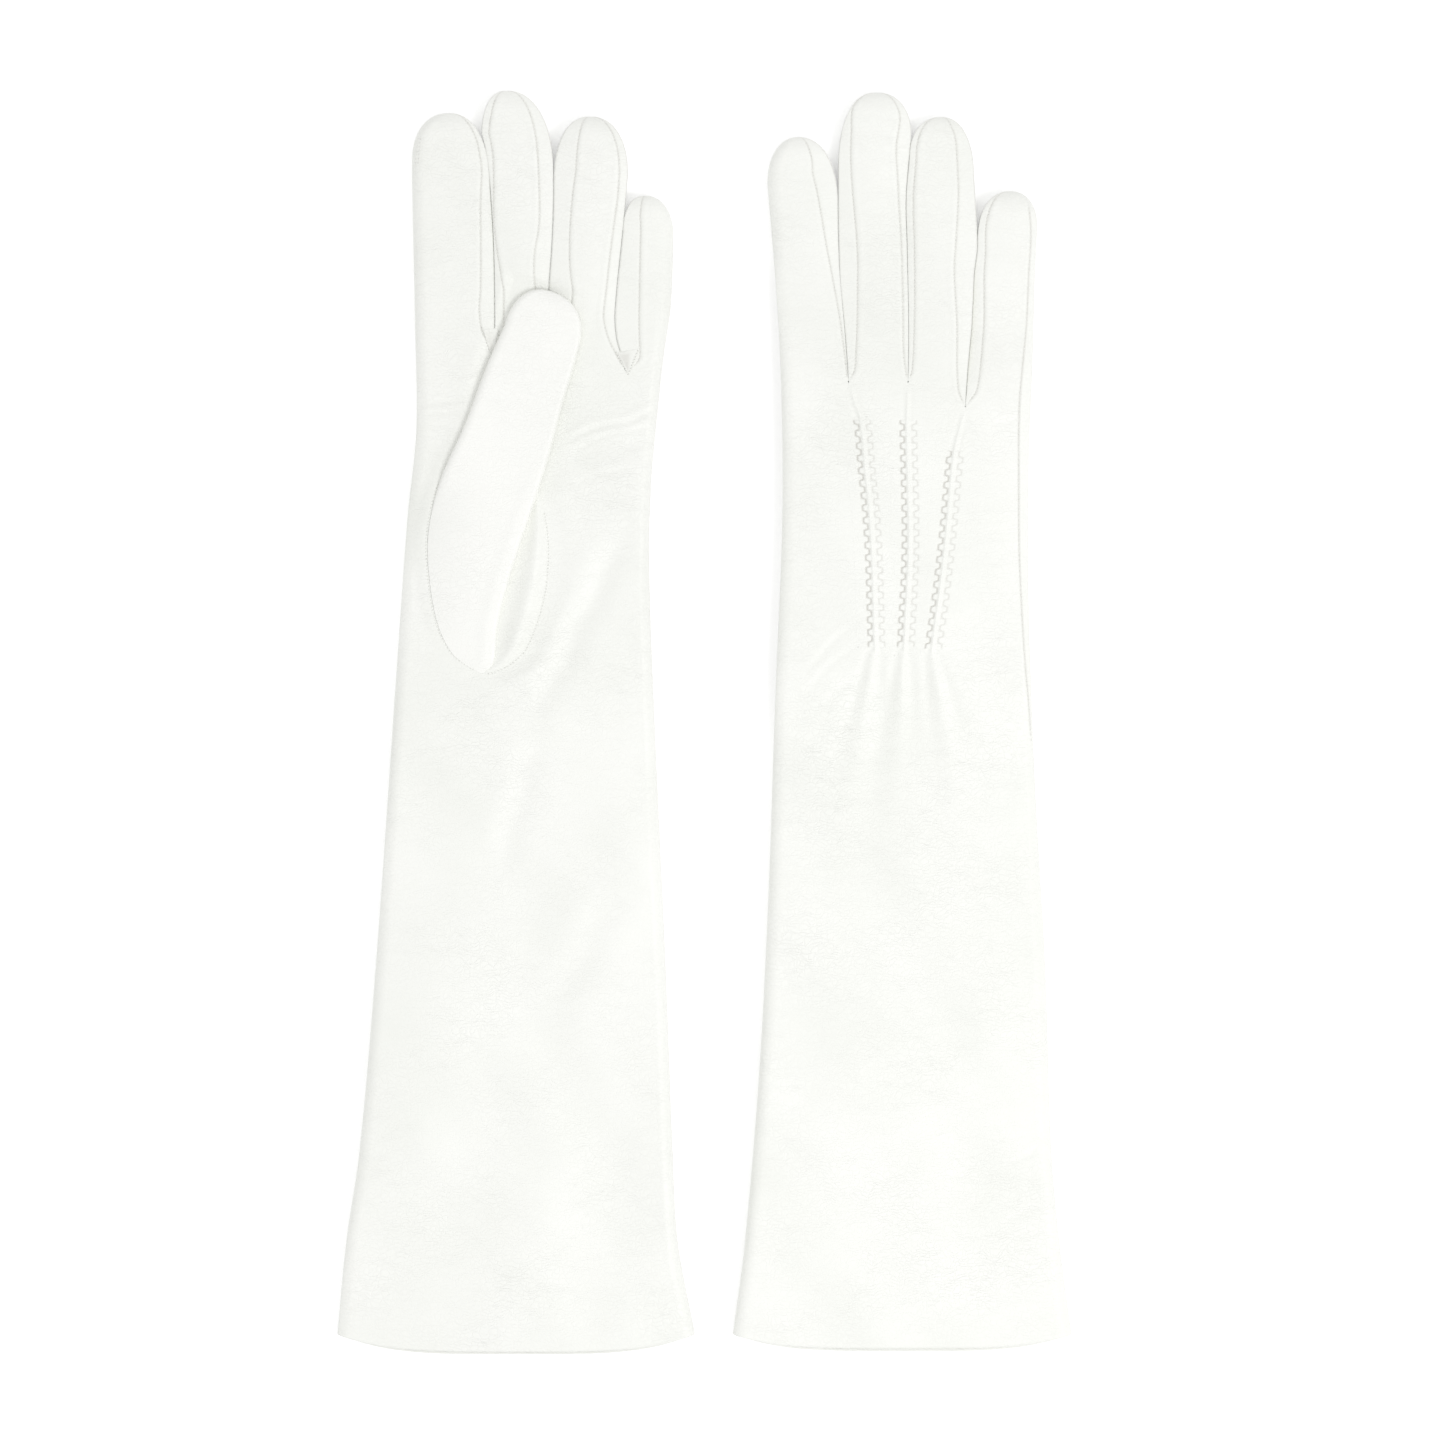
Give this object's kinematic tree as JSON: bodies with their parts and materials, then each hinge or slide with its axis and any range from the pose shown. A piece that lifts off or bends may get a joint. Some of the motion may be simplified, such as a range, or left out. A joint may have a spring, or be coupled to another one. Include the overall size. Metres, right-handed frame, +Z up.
{
  "type": "opera gloves",
  "caption": "Pair of long smooth leather gloves laid flat, one palm up and one back up, with fourchettes, set-in thumbs and raised hand-stitched points.",
  "frame": {"origin": "on the table under the middle of the pair, at the bottom centre of the bounding box", "axes": "+Y from the cuffs to the fingertips, +Z up, +X from the left glove to the right glove"},
  "size_m": [0.2786, 0.479, 0.0153],
  "materials": {
    "kid_leather": "smooth, fine grained",
    "sewing_thread": "matt thread"
  },
  "bodies": {
    "left_sleeve": {"left_sleeve": "kid_leather", "left_hem": "kid_leather"},
    "left_hand": {"left_hand": "kid_leather", "left_thumb_gusset": "kid_leather", "left_fork_index_middle": "kid_leather", "left_fork_middle_ring": "kid_leather", "left_fork_ring_little": "kid_leather", "left_quirk_index_middle": "kid_leather", "left_quirk_middle_ring": "kid_leather", "left_quirk_ring_little": "kid_leather", "left_point_index": "sewing_thread", "left_point_middle": "sewing_thread", "left_point_ring": "sewing_thread"},
    "left_thumb": {"left_thumb": "kid_leather"},
    "left_index": {"left_index_end": "kid_leather", "left_index_fourchette": "kid_leather"},
    "left_middle": {"left_middle_end": "kid_leather", "left_middle_fourchette_a": "kid_leather", "left_middle_fourchette_b": "kid_leather"},
    "left_ring": {"left_ring_end": "kid_leather", "left_ring_fourchette_a": "kid_leather", "left_ring_fourchette_b": "kid_leather"},
    "left_little": {"left_little_end": "kid_leather", "left_little_fourchette": "kid_leather"},
    "right_sleeve": {"right_sleeve": "kid_leather", "right_hem": "kid_leather"},
    "right_hand": {"right_hand": "kid_leather", "right_thumb_gusset": "kid_leather", "right_fork_index_middle": "kid_leather", "right_fork_middle_ring": "kid_leather", "right_fork_ring_little": "kid_leather", "right_quirk_index_middle": "kid_leather", "right_quirk_middle_ring": "kid_leather", "right_quirk_ring_little": "kid_leather", "right_point_index": "sewing_thread", "right_point_middle": "sewing_thread", "right_point_ring": "sewing_thread"},
    "right_thumb": {"right_thumb": "kid_leather"},
    "right_index": {"right_index_end": "kid_leather", "right_index_fourchette": "kid_leather"},
    "right_middle": {"right_middle_end": "kid_leather", "right_middle_fourchette_a": "kid_leather", "right_middle_fourchette_b": "kid_leather"},
    "right_ring": {"right_ring_end": "kid_leather", "right_ring_fourchette_a": "kid_leather", "right_ring_fourchette_b": "kid_leather"},
    "right_little": {"right_little_end": "kid_leather", "right_little_fourchette": "kid_leather"}
  },
  "joints": [
    {"name": "right_glove_lift", "type": "slide", "parent": "left_sleeve", "child": "right_sleeve", "axis": [0, 0, 1], "range_m": [0, 0.25]},
    {"name": "left_wrist", "type": "hinge", "parent": "left_sleeve", "child": "left_hand", "pos_m": [-0.0685, -0.01, 0.009], "axis": [1, 0, 0], "range_deg": [0, 60]},
    {"name": "left_thumb_swing", "type": "hinge", "parent": "left_hand", "child": "left_thumb", "pos_m": [-0.084, 0.062, 0.009], "axis": [0, 0, 1], "range_deg": [0, 45]},
    {"name": "left_index_bend", "type": "hinge", "parent": "left_hand", "child": "left_index", "pos_m": [-0.0955, 0.178, 0.009], "axis": [1, 0, 0], "range_deg": [0, 75]},
    {"name": "left_middle_bend", "type": "hinge", "parent": "left_hand", "child": "left_middle", "pos_m": [-0.069, 0.178, 0.009], "axis": [1, 0, 0], "range_deg": [0, 75]},
    {"name": "left_ring_bend", "type": "hinge", "parent": "left_hand", "child": "left_ring", "pos_m": [-0.0445, 0.178, 0.009], "axis": [1, 0, 0], "range_deg": [0, 75]},
    {"name": "left_little_bend", "type": "hinge", "parent": "left_hand", "child": "left_little", "pos_m": [-0.023, 0.16, 0.009], "axis": [1, 0, 0], "range_deg": [0, 75]},
    {"name": "right_wrist", "type": "hinge", "parent": "right_sleeve", "child": "right_hand", "pos_m": [0.0755, -0.01, 0.009], "axis": [1, 0, 0], "range_deg": [0, 60]},
    {"name": "right_thumb_swing", "type": "hinge", "parent": "right_hand", "child": "right_thumb", "pos_m": [0.06, 0.062, 0], "axis": [0, 0, 1], "range_deg": [0, 45]},
    {"name": "right_index_bend", "type": "hinge", "parent": "right_hand", "child": "right_index", "pos_m": [0.0385, 0.178, 0.009], "axis": [1, 0, 0], "range_deg": [0, 75]},
    {"name": "right_middle_bend", "type": "hinge", "parent": "right_hand", "child": "right_middle", "pos_m": [0.064, 0.178, 0.009], "axis": [1, 0, 0], "range_deg": [0, 75]},
    {"name": "right_ring_bend", "type": "hinge", "parent": "right_hand", "child": "right_ring", "pos_m": [0.0902, 0.178, 0.009], "axis": [1, 0, 0], "range_deg": [0, 75]},
    {"name": "right_little_bend", "type": "hinge", "parent": "right_hand", "child": "right_little", "pos_m": [0.1135, 0.16, 0.009], "axis": [1, 0, 0], "range_deg": [0, 75]}
  ]
}
